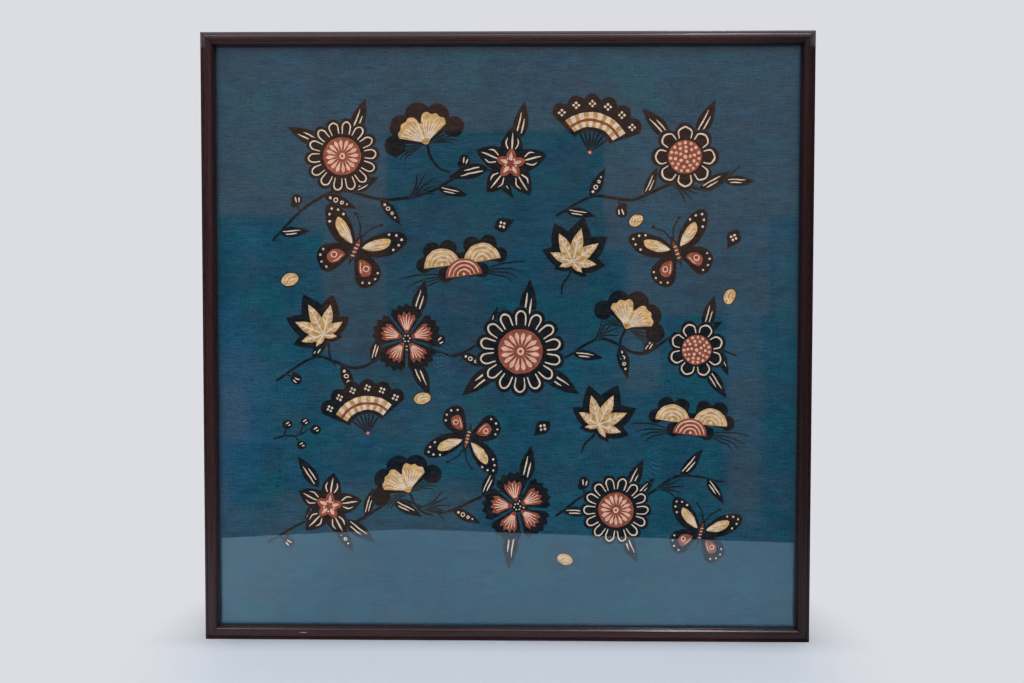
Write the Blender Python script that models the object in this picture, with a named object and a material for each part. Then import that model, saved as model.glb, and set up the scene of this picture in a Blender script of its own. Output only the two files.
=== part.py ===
"""Stencil-dyed textile, glazed and framed in a slim moulding of lacquered wood.

Metres, +Z up. The picture stands upright on its bottom rail with its face towards -Y.
The origin is the centre of its footprint, on the surface it stands on.
"""

import math

import bmesh
import bpy
from mathutils import Vector

# The square frame
OUTER_SIZE = 0.614          # outside edge to outside edge
RAIL_WIDTH = 0.013          # outside edge to sight edge
RAIL_DEPTH = 0.024          # back to the crown of the moulding
FIT_GAP = 0.0003            # clearance between neighbouring pieces

# The moulding's section, from its outside edge and from its back
WALL_WIDTH = 0.007          # solid wood outside the rebate
OUTSIDE_HEIGHT = 0.0203     # flat outside face
FILLET_RISE = 0.0010        # small rounded fillet along the outside
FILLET_WIDTH = 0.0023
QUIRK_WIDTH = 0.0005        # narrow groove between fillet and bead
QUIRK_DEPTH = 0.0009
OUTER_SHOULDER = 0.0031     # the bead's two rounded shoulders
INNER_SHOULDER = 0.0034
CROWN_RISE = 0.0002         # the flattish crown is slightly domed
SIGHT_ARRIS = 0.0004        # small bevel where the bead meets the sight edge
SIGHT_HEIGHT = 0.0196       # top of the flat sight edge
SHOULDER_STEPS = 7          # facets in each rounded shoulder
FILLET_STEPS = 4
CROWN_STEPS = 4

# What lies in the rebate, from the lip backwards
LIP_HEIGHT = 0.0148         # the lip's rear face, from the back
GLASS_THICKNESS = 0.0020
CLOTH_THICKNESS = 0.0010
BOARD_THICKNESS = 0.0030

REBATE_OPENING = OUTER_SIZE - 2 * WALL_WIDTH
SHEET_SIZE = REBATE_OPENING - 2 * FIT_GAP

LACQUER = (0.045, 0.018, 0.015, 1.0)
CLEAR_GLASS = (0.86, 0.92, 0.92, 1.0)
INDIGO_CLOTH = (0.016, 0.060, 0.090, 1.0)
PLAIN_BOARD = (0.36, 0.25, 0.15, 1.0)


def clear_scene():
    for old in list(bpy.data.objects):
        bpy.data.objects.remove(old, do_unlink=True)


def make_material(name, colour, roughness, metallic=0.0, transmission=0.0):
    material = bpy.data.materials.new(name)
    material.use_nodes = True
    shader = material.node_tree.nodes["Principled BSDF"]
    shader.inputs["Base Color"].default_value = colour
    shader.inputs["Roughness"].default_value = roughness
    shader.inputs["Metallic"].default_value = metallic
    shader.inputs["Transmission Weight"].default_value = transmission
    return material


def quarter_turns(steps):
    """The angles between the two ends of a quarter turn, both ends included."""
    return [0.5 * math.pi * step / steps for step in range(steps + 1)]


def fillet_points():
    """The small rounded fillet, from the outside face to the groove beside it."""
    top = OUTSIDE_HEIGHT + FILLET_RISE
    return [
        (FILLET_WIDTH * (1 - math.cos(turn)), OUTSIDE_HEIGHT + (top - OUTSIDE_HEIGHT) * math.sin(turn))
        for turn in quarter_turns(FILLET_STEPS)
    ]


def bead_points():
    """The main bead: outer shoulder, slightly domed crown, inner shoulder."""
    foot = OUTSIDE_HEIGHT + FILLET_RISE - QUIRK_DEPTH
    start = FILLET_WIDTH + QUIRK_WIDTH
    crown_start = start + OUTER_SHOULDER
    end = RAIL_WIDTH - SIGHT_ARRIS
    crown_end = end - INNER_SHOULDER
    shoulder_top = RAIL_DEPTH - CROWN_RISE
    inner_foot = SIGHT_HEIGHT + SIGHT_ARRIS

    points = [(start - 0.5 * QUIRK_WIDTH, foot)]
    for turn in quarter_turns(SHOULDER_STEPS):
        points.append((
            crown_start - OUTER_SHOULDER * math.cos(turn),
            foot + 0.5 * QUIRK_WIDTH + (shoulder_top - foot - 0.5 * QUIRK_WIDTH) * math.sin(turn),
        ))
    for step in range(1, CROWN_STEPS):
        along = step / CROWN_STEPS
        points.append((
            crown_start + (crown_end - crown_start) * along,
            shoulder_top + CROWN_RISE * math.sin(math.pi * along),
        ))
    for turn in quarter_turns(SHOULDER_STEPS):
        points.append((
            crown_end + INNER_SHOULDER * math.sin(turn),
            inner_foot + (shoulder_top - inner_foot) * math.cos(turn),
        ))
    return points


def rail_section():
    """The closed outline of the moulding as (inset from the outside edge, height above the back)."""
    wall_and_face = [(0.0, 0.0)] + fillet_points() + bead_points()
    sight_and_rebate = [
        (RAIL_WIDTH, SIGHT_HEIGHT),
        (RAIL_WIDTH, LIP_HEIGHT),
        (WALL_WIDTH, LIP_HEIGHT),
        (WALL_WIDTH, 0.0),
    ]
    return wall_and_face + sight_and_rebate


def mitred_rail_mesh(name):
    """One length of moulding with both ends mitred at 45 degrees.

    It runs along X, its inset along Z and its face towards -Y. Each mitre is cut back by half the gap.
    """
    cut_back = FIT_GAP / math.sqrt(2)
    bm = bmesh.new()
    ends = []
    for side in (-1, 1):
        ends.append([
            bm.verts.new((
                side * (OUTER_SIZE / 2 - inset - cut_back),
                RAIL_DEPTH / 2 - height,
                inset,
            ))
            for inset, height in rail_section()
        ])
    left_end, right_end = ends
    count = len(left_end)
    for this in range(count):
        after = (this + 1) % count
        bm.faces.new((left_end[this], left_end[after], right_end[after], right_end[this]))
    bm.faces.new(left_end)
    bm.faces.new(list(reversed(right_end)))
    bmesh.ops.recalc_face_normals(bm, faces=bm.faces)
    mesh = bpy.data.meshes.new(name)
    bm.to_mesh(mesh)
    bm.free()
    mesh.shade_smooth()
    mesh.set_sharp_from_angle(angle=math.radians(35))
    return mesh


def sheet_mesh(name, size, thickness):
    """A square sheet, upright, centred on its own middle."""
    bm = bmesh.new()
    bmesh.ops.create_cube(bm, size=1.0)
    bmesh.ops.scale(bm, vec=Vector((size, thickness, size)), verts=bm.verts)
    mesh = bpy.data.meshes.new(name)
    bm.to_mesh(mesh)
    bm.free()
    return mesh


def place(name, mesh, material, parent, location, turn=0.0):
    """A named piece, turned in the plane of the picture and parented to the assembly."""
    piece = bpy.data.objects.new(name, mesh)
    bpy.context.scene.collection.objects.link(piece)
    piece.parent = parent
    piece.location = location
    piece.rotation_euler = (0.0, turn, 0.0)
    if not mesh.materials:
        mesh.materials.append(material)
    return piece


def build_rails(parent):
    """Four equal rails, each turned a quarter from the last round the middle of the picture."""
    half = OUTER_SIZE / 2
    lacquer = make_material("lacquered_wood", LACQUER, roughness=0.28)
    mesh = mitred_rail_mesh("mitred_rail")
    seats = {
        "rail_bottom": ((0.0, 0.0, 0.0), 0.0),
        "rail_left": ((-half, 0.0, half), 0.5 * math.pi),
        "rail_top": ((0.0, 0.0, OUTER_SIZE), math.pi),
        "rail_right": ((half, 0.0, half), -0.5 * math.pi),
    }
    for name, (location, turn) in seats.items():
        place(name, mesh, lacquer, parent, location, turn)


def build_filling(parent):
    """Glass, cloth and backing board, laid into the rebate from the lip backwards."""
    layers = (
        ("glazing", GLASS_THICKNESS, make_material("clear_glass", CLEAR_GLASS, 0.03, transmission=1.0)),
        ("cloth", CLOTH_THICKNESS, make_material("dyed_cloth", INDIGO_CLOTH, 0.85)),
        ("backing_board", BOARD_THICKNESS, make_material("plain_board", PLAIN_BOARD, 0.75)),
    )
    front = LIP_HEIGHT - FIT_GAP
    for name, thickness, material in layers:
        middle = front - thickness / 2
        mesh = sheet_mesh(name, SHEET_SIZE, thickness)
        place(name, mesh, material, parent, (0.0, RAIL_DEPTH / 2 - middle, OUTER_SIZE / 2))
        front -= thickness + FIT_GAP


def build_picture():
    clear_scene()
    assembly = bpy.data.objects.new("framed_textile", None)
    bpy.context.scene.collection.objects.link(assembly)
    build_rails(assembly)
    build_filling(assembly)
    bpy.context.view_layer.update()


build_picture()
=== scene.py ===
"""The looks of a stencil-dyed textile, glazed and framed in a slim lacquered moulding.

Metres, +Z up, the picture's face towards -Y, as in the frame. The dyer's design is drawn in
millimetres from the middle of the cloth, as complex numbers: x to the right, y up.
"""
import cmath
import math

import bmesh
import bpy
import numpy as np
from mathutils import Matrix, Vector
from mathutils.geometry import delaunay_2d_cdt


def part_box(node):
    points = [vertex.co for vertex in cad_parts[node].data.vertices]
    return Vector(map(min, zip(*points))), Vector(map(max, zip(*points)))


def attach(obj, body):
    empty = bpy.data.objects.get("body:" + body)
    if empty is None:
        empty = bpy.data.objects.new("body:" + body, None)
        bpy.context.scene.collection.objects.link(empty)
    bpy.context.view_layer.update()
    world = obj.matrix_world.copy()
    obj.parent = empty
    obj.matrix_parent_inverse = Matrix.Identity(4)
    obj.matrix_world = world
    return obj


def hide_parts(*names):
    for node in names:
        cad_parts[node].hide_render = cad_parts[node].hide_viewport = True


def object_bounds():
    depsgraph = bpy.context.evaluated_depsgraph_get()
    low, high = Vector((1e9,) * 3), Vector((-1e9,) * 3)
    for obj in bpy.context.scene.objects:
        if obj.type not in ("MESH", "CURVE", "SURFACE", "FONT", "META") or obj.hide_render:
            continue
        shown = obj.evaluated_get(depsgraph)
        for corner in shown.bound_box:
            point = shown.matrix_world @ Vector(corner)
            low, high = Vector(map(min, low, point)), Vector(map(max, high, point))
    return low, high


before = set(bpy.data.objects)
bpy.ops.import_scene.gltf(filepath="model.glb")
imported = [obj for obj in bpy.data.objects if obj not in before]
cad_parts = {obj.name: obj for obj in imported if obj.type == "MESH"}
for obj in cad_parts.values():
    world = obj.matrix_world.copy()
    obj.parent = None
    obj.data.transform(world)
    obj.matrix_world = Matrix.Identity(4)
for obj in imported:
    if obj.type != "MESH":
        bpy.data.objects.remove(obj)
CAD_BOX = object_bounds()

# The picture, as the frame gives it
PICTURE_LOW, PICTURE_HIGH = CAD_BOX
OUTER_SIZE = PICTURE_HIGH.x - PICTURE_LOW.x
HALF_SIZE = OUTER_SIZE / 2
BACK_PLANE = PICTURE_HIGH.y
GLASS_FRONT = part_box("glazing")[0].y
CLOTH_LOW, CLOTH_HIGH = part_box("cloth")
CLOTH_SIZE = CLOTH_HIGH.x - CLOTH_LOW.x
CLOTH_MIDDLE = (CLOTH_LOW.z + CLOTH_HIGH.z) / 2

# The moulding's section, from its outside edge and from its back
RAIL_WIDTH = 0.0127
RAIL_DEPTH = 0.024
WALL_WIDTH = 0.007
LIP_HEIGHT = 0.0148
OUTSIDE_HEIGHT = 0.0216
FILLET_RISE = 0.0010
FILLET_WIDTH = 0.0025
QUIRK_WIDTH = 0.0005
QUIRK_DEPTH = 0.0005
OUTER_SHOULDER = 0.0024
INNER_SHOULDER = 0.0032
CROWN_RISE = 0.0002
SIGHT_ARRIS = 0.0002
SIGHT_HEIGHT = 0.0188
EASED_EDGE = 0.00035
FILLET_STEPS = 8
QUIRK_STEPS = 5
SHOULDER_STEPS = 12
RAIL_STEPS = 96
RAIL_CREASE = math.radians(38)
MITRE_HAIRLINE = 0.00005
RAIL_WAVER = 0.00006
WAVER_ALONG = 28.0
WAVER_ACROSS = 90.0
WAVER_HEIGHTS = (0.015, 0.021)

# The cloth
CLOTH_THICKNESS = 0.0005
CLOTH_SETBACK = 0.0001
CLOTH_WAVE = 0.00012
CLOTH_CREASE = math.radians(60)
WARP_PITCH = 0.00062
WEFT_PITCH = 0.00056
BORDER_POINTS = 60
LATTICE_PITCH = 12.0
MILLIMETRE = 0.001

# The chip in the bottom rail's lacquer
CHIP_PLACE = (-0.2067, 0.0080)
CHIP_LENGTH = 0.0068
CHIP_WIDTH = 0.0008

# Node trees

def math_node(operation, swapped=False):
    """A method that adds one Math node over a wire and its operands."""
    def method(wire, *others):
        values = (*others, wire) if swapped else (wire, *others)
        return wire.board.add("ShaderNodeMath", {"operation": operation}, dict(enumerate(values)))
    return method


class Wire:
    """A node's output. Arithmetic on it adds Math nodes to its tree."""

    def __init__(self, board, socket):
        self.board, self.socket = board, socket

    __add__ = __radd__ = math_node("ADD")
    __sub__ = math_node("SUBTRACT")
    __rsub__ = math_node("SUBTRACT", swapped=True)
    __mul__ = __rmul__ = math_node("MULTIPLY")
    __truediv__ = math_node("DIVIDE")
    __pow__ = math_node("POWER")
    sine = math_node("SINE")
    size = math_node("ABSOLUTE")
    smaller = math_node("MINIMUM")
    larger = math_node("MAXIMUM")
    compare = math_node("COMPARE")

    def output(self, name):
        """Another output of the same node."""
        return Wire(self.board, self.socket.node.outputs[name])

    def step(self, low, high, start=0.0, end=1.0):
        """Rises smoothly from start to end as the value goes from low to high."""
        values = {"Value": self, "From Min": low, "From Max": high, "To Min": start, "To Max": end}
        return self.board.add("ShaderNodeMapRange", {"interpolation_type": "SMOOTHSTEP"}, values)

    def fall(self, low, high):
        """Falls smoothly from 1 to 0 as the value goes from low to high."""
        return self.step(low, high, 1.0, 0.0)

    def near(self, centre, reach):
        """1 at the centre, falling smoothly to 0 at reach on both sides."""
        return (self - centre).size().fall(0.0, reach)


def rgba(colour):
    """A colour for a socket: a wire as it is, a value with its alpha."""
    return colour if isinstance(colour, Wire) else (*colour, 1.0)


class Board:
    """Adds nodes to one tree, its owner's."""

    def __init__(self, tree, owner=None):
        self.tree, self.owner = tree, owner

    def add(self, kind, settings=None, inputs=None, output=0):
        """A node of that type: its settings first, then its sockets' values or wires."""
        node = self.tree.nodes.new(kind)
        for name, value in (settings or {}).items():
            if name == "stops":
                self.set_stops(node.color_ramp, value)
            elif name == "ramp":
                node.color_ramp.interpolation = value
            else:
                setattr(node, name, value)
        for name, value in (inputs or {}).items():
            if isinstance(value, Wire):
                self.tree.links.new(value.socket, node.inputs[name])
            else:
                node.inputs[name].default_value = value
        return Wire(self, node.outputs[output]) if node.outputs else node

    @staticmethod
    def set_stops(ramp, stops):
        while len(ramp.elements) < len(stops):
            ramp.elements.new(1.0)
        for element, (position, colour) in zip(ramp.elements, stops):
            element.position = position
            element.color = rgba(colour)

    def place(self):
        """Object coordinates, which are the frame's own."""
        return self.add("ShaderNodeTexCoord", output="Object")

    def attribute(self, name, output="Fac"):
        return self.add("ShaderNodeAttribute", {"attribute_name": name}, output=output)

    def noise(self, *place, scale=1.0, detail=2.0, roughness=0.5):
        """Noise at a vector, or at its three parts."""
        return self.add("ShaderNodeTexNoise", {}, {
            "Vector": place[0] if len(place) == 1 else self.vector(*place),
            "Scale": scale, "Detail": detail, "Roughness": roughness})

    def vector(self, x, y, z):
        return self.add("ShaderNodeCombineXYZ", {}, {0: x, 1: y, 2: z})

    def split(self, vector):
        parts = self.add("ShaderNodeSeparateXYZ", {}, {0: vector})
        return parts, parts.output("Y"), parts.output("Z")

    def combined(self, operation, first, second, output=0):
        """Vector Math on two vectors or colours."""
        return self.add("ShaderNodeVectorMath", {"operation": operation}, {0: first, 1: second}, output)

    def distance(self, first, second):
        return self.combined("DISTANCE", first, second, "Value")

    def mix(self, factor, first, second):
        """Two colours mixed, wires or values."""
        return self.add("ShaderNodeMix", {"data_type": "RGBA", "clamp_factor": True},
                        {0: factor, 6: rgba(first), 7: rgba(second)}, output=2)

    def shade(self, colour, amount):
        """A colour made lighter or darker by an amount around 1."""
        return self.add("ShaderNodeVectorMath", {"operation": "SCALE"}, {0: colour, "Scale": amount})

    def bump(self, height, distance, strength):
        return self.add("ShaderNodeBump", {}, {"Height": height, "Distance": distance, "Strength": strength})

    def surface(self, colour, **sockets):
        """A Principled surface; an underscore in a socket's name is a space."""
        named = {name.replace("_", " "): value for name, value in sockets.items()}
        return self.add("ShaderNodeBsdfPrincipled", {}, {"Base Color": rgba(colour), **named})

    def finished(self, surface):
        """The board's material, with that surface as its output."""
        self.add("ShaderNodeOutputMaterial", {}, {"Surface": surface})
        return self.owner


def empty_board(owner):
    """The board of a material or a world, with no nodes on it yet."""
    owner.use_nodes = True
    owner.node_tree.nodes.clear()
    return Board(owner.node_tree, owner)


def new_material(name):
    return empty_board(bpy.data.materials.new(name))


# Finishes

DYES = (
    # name, deep tone, pale tone, how strongly the threads show
    ("indigo", (0.0041, 0.0439, 0.0772), (0.0102, 0.0693, 0.1163), 1.00),
    ("soft edge", (0.0070, 0.0240, 0.0400), (0.0110, 0.0340, 0.0560), 0.80),
    ("sumi", (0.0015, 0.0058, 0.0090), (0.0140, 0.0142, 0.0178), 1.20),
    ("brick", (0.152, 0.034, 0.020), (0.268, 0.081, 0.049), 0.50),
    ("ochre", (0.300, 0.164, 0.049), (0.610, 0.410, 0.196), 0.42),
    ("cream", (0.512, 0.405, 0.320), (0.682, 0.590, 0.475), 0.34),
    ("washed indigo", (0.0180, 0.0960, 0.1600), (0.0320, 0.1360, 0.2100), 0.90),
    ("blush cream", (0.560, 0.325, 0.250), (0.735, 0.470, 0.375), 0.34),
)
GROUND, BLEED, SUMI, BRICK, OCHRE, CREAM, WASHED, BLUSH = range(len(DYES))
GREYED_INDIGO = (0.0190, 0.0520, 0.0780)
TEAL_INDIGO = (0.0030, 0.0720, 0.0960)
# The painted sheen of the raised threads, added to the dye's colour
PAINTED_THREAD_SHEEN = (0.022, 0.004, 0.0)

# A painted pool of bluer window light by the lower left edge, in x and z, and a painted shade's middle
WINDOW_LIT_INDIGO = (0.0120, 0.0800, 0.1750)
WINDOW_LIGHT_PLACE = (-0.292, 0.235)
WINDOW_LIGHT_REACH = (0.055, 0.125)
SHADE_MIDDLE = (-0.050, 0.0, 0.400)

# Painted shade on the cloth along the frame's sight edge, from behind the rail to how far it shows
SIGHT_EDGE_SHADE = (0.045, 0.036, 0.052)
SHADE_BEHIND = -0.0020
SHADE_REACH = 0.0030
SHADE_REACH_TOP = 0.0052

# The lacquer, and what has marked it
LACQUER_DEEP = (0.0160, 0.0055, 0.0060)
LACQUER_PALE = (0.0325, 0.0095, 0.0096)
LACQUER_PORE = (0.0060, 0.0030, 0.0034)
LACQUER_RUBBED = (0.058, 0.030, 0.031)
RAIL_BACK = (0.030, 0.018, 0.014)
RAIL_DUST_AND_SHEEN = (0.082, 0.064, 0.070)
CHIPPED_WOOD = (0.25, 0.22, 0.19)
MITRE_LINE = (0.0030, 0.0016, 0.0018)

GLASS_TINT = (0.93, 0.965, 0.96)
GLASS_MIRRORS_FACING = 0.044
GLASS_MIRRORS_GRAZING = 0.95
FIBRE_DEEP = (0.20, 0.115, 0.058)
FIBRE_PALE = (0.38, 0.245, 0.135)
BOARD_CLOUD = (0.25, 0.155, 0.085)
BOARD_FLECK = (0.10, 0.055, 0.030)

PUCKERS = (
    # x and z of the middle in mm, ripple spacing, reach
    (66, 92, 3.1, 46),
    (-58, -20, 2.8, 38),
    (118, -120, 3.3, 40),
    (-150, 60, 3.0, 34),
)


def by_dye(board, dye, column):
    """What one column of the dyes holds, for the dye at each point: a colour, or a share as a grey."""
    values = [row[column] if isinstance(row[column], tuple) else (row[column],) * 3 for row in DYES]
    stops = [(k / len(DYES), value) for k, value in enumerate(values)]
    return board.add("ShaderNodeValToRGB", {"ramp": "CONSTANT", "stops": stops}, {0: (dye + 0.5) / len(DYES)})


def puckering(board, place):
    """Fine ripples that the paste left round a few motifs."""
    total = 0.0
    for x, z, spacing, reach in PUCKERS:
        away = board.distance(place, (x * MILLIMETRE, 0.0, CLOTH_MIDDLE + z * MILLIMETRE))
        broken = board.noise(place, scale=55.0, detail=1.0)
        ripple = (away * (2 * math.pi / (spacing * MILLIMETRE)) + broken * 9.0).sine()
        patch = board.noise(place, scale=38.0, detail=1.0).step(0.46, 0.60)
        total = total + ripple * away.fall(0.35 * reach * MILLIMETRE, reach * MILLIMETRE) * patch
    return total


def dyed_cloth():
    """Plain-woven cloth with slubs, its dyes by the mesh's own dye and tone."""
    board = new_material("dyed_cloth")
    place = board.place()
    dye, tone = board.attribute("dye"), board.attribute("tone")
    x, _, z = board.split(place)
    wander = board.noise(place, scale=6.0, detail=1.0)
    pick = z + wander * 0.005
    end = x + wander * 0.003

    def weft(length, width):
        """Noise drawn out along the weft."""
        return board.noise(x / length, 0.0, pick / width, detail=1.0)

    row = weft(0.012, 0.00105)
    slub = weft(0.034, 0.0021)
    streak = weft(0.090, 0.0013)
    speckle = weft(0.0022, 0.0012)
    upright = board.noise(end / 0.0013, 0.0, z / 0.014, detail=1.0)
    cluster = board.noise(place, scale=16.0).step(0.40, 0.58)
    dark_slub = weft(0.0085, 0.0016).step(0.61, 0.70) * cluster
    pale_thread = weft(0.024, 0.0010).step(0.61, 0.70) * (1 - cluster * 0.6)

    vat = board.noise(place, scale=9.0, detail=3.0, roughness=0.6)
    cloudy = board.noise(x / 0.030, 0.0, z / 0.010, detail=3.0, roughness=0.6)
    deepening = (vat * 0.5 + cloudy * 0.5).step(0.33, 0.67)
    on_motif = dye.step(BLEED + 0.4, BLEED + 0.6) * (1 - dye.compare(WASHED, 0.5))
    on_ground = 1 - on_motif
    brushed = board.noise(x / 0.0065, 0.0, z / 0.0045).step(0.36, 0.64)
    graded = brushed * 0.62 + tone * 0.42
    paleness = deepening * on_ground + graded.smaller(1.0) * on_motif
    colour = board.mix(paleness, by_dye(board, dye, 1), by_dye(board, dye, 2))

    greying = board.noise(x / 0.045, 0.0, z / 0.030, detail=3.0).step(0.42, 0.64)
    greening = board.noise(z / 0.040, 0.0, x / 0.055, detail=3.0).step(0.50, 0.68)
    # A painted pool of window light, bluer and brighter, by the ground's lower left edge
    across = (x - WINDOW_LIGHT_PLACE[0]) / WINDOW_LIGHT_REACH[0]
    up = (z - WINDOW_LIGHT_PLACE[1]) / WINDOW_LIGHT_REACH[1]
    window_light = (across ** 2.0 + up ** 2.0).fall(0.25, 1.15)
    colour = board.mix(on_ground * greying * 0.46, colour, GREYED_INDIGO)
    colour = board.mix(on_ground * greening * 0.52, colour, TEAL_INDIGO)
    colour = board.mix(on_ground * window_light * 0.33, colour, WINDOW_LIT_INDIGO)

    # The threads lighten and darken their dye, partly by their own unevenness and partly by painted light and
    # shade; the puckers' crests get a painted highlight, and a painted sheen adds a more neutral gleam
    ripples = puckering(board, place)
    light = (row - 0.5) * 0.84 + (slub - 0.5) * 0.30 + (streak - 0.5) * 0.26
    light = light + (speckle - 0.5) * 0.86 + (upright - 0.5) * 0.30
    light = light + pale_thread * 0.30 - dark_slub * 0.42 + ripples.larger(0.0) * 0.22
    shown = light * by_dye(board, dye, 3)
    colour = board.shade(colour, shown * 0.82 + 1.0)
    colour = board.combined("ADD", colour, board.shade(PAINTED_THREAD_SHEEN, shown))
    # Painted shade over the cloth's upper middle, weaker on the motifs
    painted_shade = board.distance(place, SHADE_MIDDLE).fall(0.08, 0.24) * (1 - on_motif * 0.6)
    colour = board.shade(colour, 1 - painted_shade * 0.165)

    # Painted shade along the sight edge, in a warm grey, wider under the top rail
    sight = HALF_SIZE - RAIL_WIDTH
    at_sides = (sight - x.size()).fall(SHADE_BEHIND, SHADE_REACH)
    at_top = (sight + HALF_SIZE - z).fall(SHADE_BEHIND, SHADE_REACH_TOP)
    at_foot = (z - RAIL_WIDTH).fall(SHADE_BEHIND, SHADE_REACH)
    colour = board.mix(at_sides.larger(at_top).larger(at_foot) * 0.5, colour, SIGHT_EDGE_SHADE)

    weave = (end * (math.pi / WARP_PITCH)).sine() * (pick * (math.pi / WEFT_PITCH)).sine()
    raised = weave * 0.12 + slub * 0.6 + row * 0.6 + dark_slub * 0.8 + ripples * 0.8
    return board.finished(board.surface(
        colour,
        Roughness=0.90,
        Specular_IOR_Level=0.12,
        Sheen_Weight=0.05,
        Sheen_Roughness=0.55,
        Normal=board.bump(raised, 0.00022, 0.60),
    ))


def lacquered_wood():
    """Dark red-brown lacquer over fine grain: rubbed along its edges, with dust and a painted sheen
    on the top rail's outer faces, dark lines in the mitres, a chip at the foot, and painted shade on the
    right-hand rail."""
    board = new_material("lacquered_wood")
    run, inset, height = board.split(board.attribute("rail_place", "Vector"))
    place = board.place()
    x, _, z = board.split(place)

    def along(length, width, **settings):
        """Noise drawn out along the rail."""
        return board.noise(run / length, inset / width, height / width, **settings)

    grain = along(0.060, 0.0011, detail=3.0, roughness=0.6)
    pores = along(0.0045, 0.00028, detail=1.0).step(0.62, 0.74)
    cloud = along(0.035, 0.010, detail=3.0)
    mottle = along(0.0030, 0.0016).step(0.36, 0.64)
    wear = board.noise(run / 0.010, inset / 0.002, 0.0, detail=3.0, roughness=0.7)
    colour = board.mix(grain.step(0.34, 0.68), LACQUER_DEEP, LACQUER_PALE)
    colour = board.mix(pores * 0.35, colour, LACQUER_PORE)
    colour = board.shade(colour, mottle * 0.50 + 0.70)

    on_fillet = inset.near(0.55 * FILLET_WIDTH, 0.0011)
    on_fillet = on_fillet * height.step(OUTSIDE_HEIGHT, OUTSIDE_HEIGHT + FILLET_RISE)
    on_shoulder = inset.near(FILLET_WIDTH + QUIRK_WIDTH + 0.6 * OUTER_SHOULDER, 0.0012)
    rubbed = (on_fillet * 0.4 + on_shoulder * 0.2) * wear.step(0.42, 0.66)
    colour = board.mix(rubbed, colour, LACQUER_RUBBED)

    at_back = height.fall(0.0006, 0.0030)
    colour = board.mix(at_back * 0.6, colour, RAIL_BACK)
    # Painted shade: the right-hand rail is darkened, and its coat is weaker there
    darker = x.step(0.20, 0.30) * 0.40
    colour = board.shade(colour, 1 - darker)
    # Dust on the top rail's upward outer faces, which also paints the sheen that light from above gives them;
    # it dulls the coat
    on_top = z.step(OUTER_SIZE - 1.4 * RAIL_WIDTH, OUTER_SIZE - RAIL_WIDTH)
    dust = inset.fall(0.8 * FILLET_WIDTH, FILLET_WIDTH + 2.0 * OUTER_SHOULDER) * on_top
    colour = board.mix(dust * (0.40 + wear * 0.5), colour, RAIL_DUST_AND_SHEEN)
    ragged = board.noise(place, scale=700.0)
    across, up = (x - CHIP_PLACE[0]) / CHIP_LENGTH, (z - CHIP_PLACE[1]) / CHIP_WIDTH
    chip = (across ** 2.0 + up ** 2.0 + ragged * 0.9).fall(0.60, 0.85)
    chip = chip * height.step(0.5 * RAIL_DEPTH, 0.6 * RAIL_DEPTH)
    colour = board.mix(chip, colour, CHIPPED_WOOD)
    mitre = (x.size() - (z - HALF_SIZE).size()).near(0.0, 0.0008)
    colour = board.mix(mitre * 0.85, colour, MITRE_LINE)

    roughness = cloud * 0.12 + wear * 0.06 + at_back * 0.30 + dust * 0.20 + chip * 0.30 + mitre * 0.30 + 0.36
    polished = (1 - at_back - dust * 0.65 - mitre).larger(0.0) * (1 - darker)
    return board.finished(board.surface(
        colour,
        Roughness=roughness.smaller(0.9),
        Specular_IOR_Level=0.20,
        Coat_Weight=polished * 0.22,
        Coat_Roughness=0.20,
        Normal=board.bump(grain * 0.5 + cloud * 1.4 - pores * 0.8 - chip * 1.5, 0.00010, 0.55),
    ))


def clear_glass():
    """Sheet glass: it mirrors by its angle and lets the rest through, with a little dust."""
    board = new_material("clear_glass")
    grazing = board.add("ShaderNodeLayerWeight", {}, {"Blend": 0.5}, "Facing")
    mirrored = grazing ** 5.0 * GLASS_MIRRORS_GRAZING + GLASS_MIRRORS_FACING
    dust = board.noise(board.place(), scale=420.0, roughness=0.7).step(0.69, 0.80) * 0.012
    return board.finished(board.surface(GLASS_TINT, Metallic=1.0, Roughness=0.015, Alpha=mirrored + dust))


def fibreboard():
    """Plain brown hardboard with short fibres."""
    board = new_material("plain_board")
    place = board.place()
    x, _, z = board.split(place)
    swirl = board.noise(place, scale=60.0) * 3.0
    lying = board.noise(x / 0.006 + swirl, 0.0, z / 0.0009)
    standing = board.noise(x / 0.0010, 0.0, z / 0.005 + swirl)
    fibres = lying.larger(standing)
    cloud = board.noise(place, scale=11.0, detail=4.0, roughness=0.6)
    flecks = board.noise(place, scale=520.0, detail=1.0).step(0.66, 0.76)
    colour = board.mix(fibres.step(0.42, 0.70), FIBRE_DEEP, FIBRE_PALE)
    colour = board.mix(cloud.step(0.40, 0.70) * 0.5, colour, BOARD_CLOUD)
    colour = board.mix(flecks * 0.6, colour, BOARD_FLECK)
    raised = board.bump(fibres + cloud * 0.5, 0.00012, 0.6)
    return board.finished(board.surface(colour, Roughness=0.62 + fibres * 0.25, Normal=raised))


# The dyer's design

CUT_STEP = 1.6
WOBBLE = 0.28
WOBBLE_LENGTH = 9.0
BLEED_WIDTH = 0.55


def heading(degrees):
    return cmath.rect(1.0, math.radians(degrees))


def full_turn(count):
    return np.arange(count) * 2 * math.pi / count


def swung(half_angle, shares):
    """Directions swung to both sides of +x, by shares from -1 to 1 of a half angle."""
    return np.exp(1j * math.radians(half_angle) * shares)


def arc(radius, half_angle):
    """Knots of an upright arc about the origin."""
    return 1j * radius * swung(half_angle, np.linspace(1, -1, 7))


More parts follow.
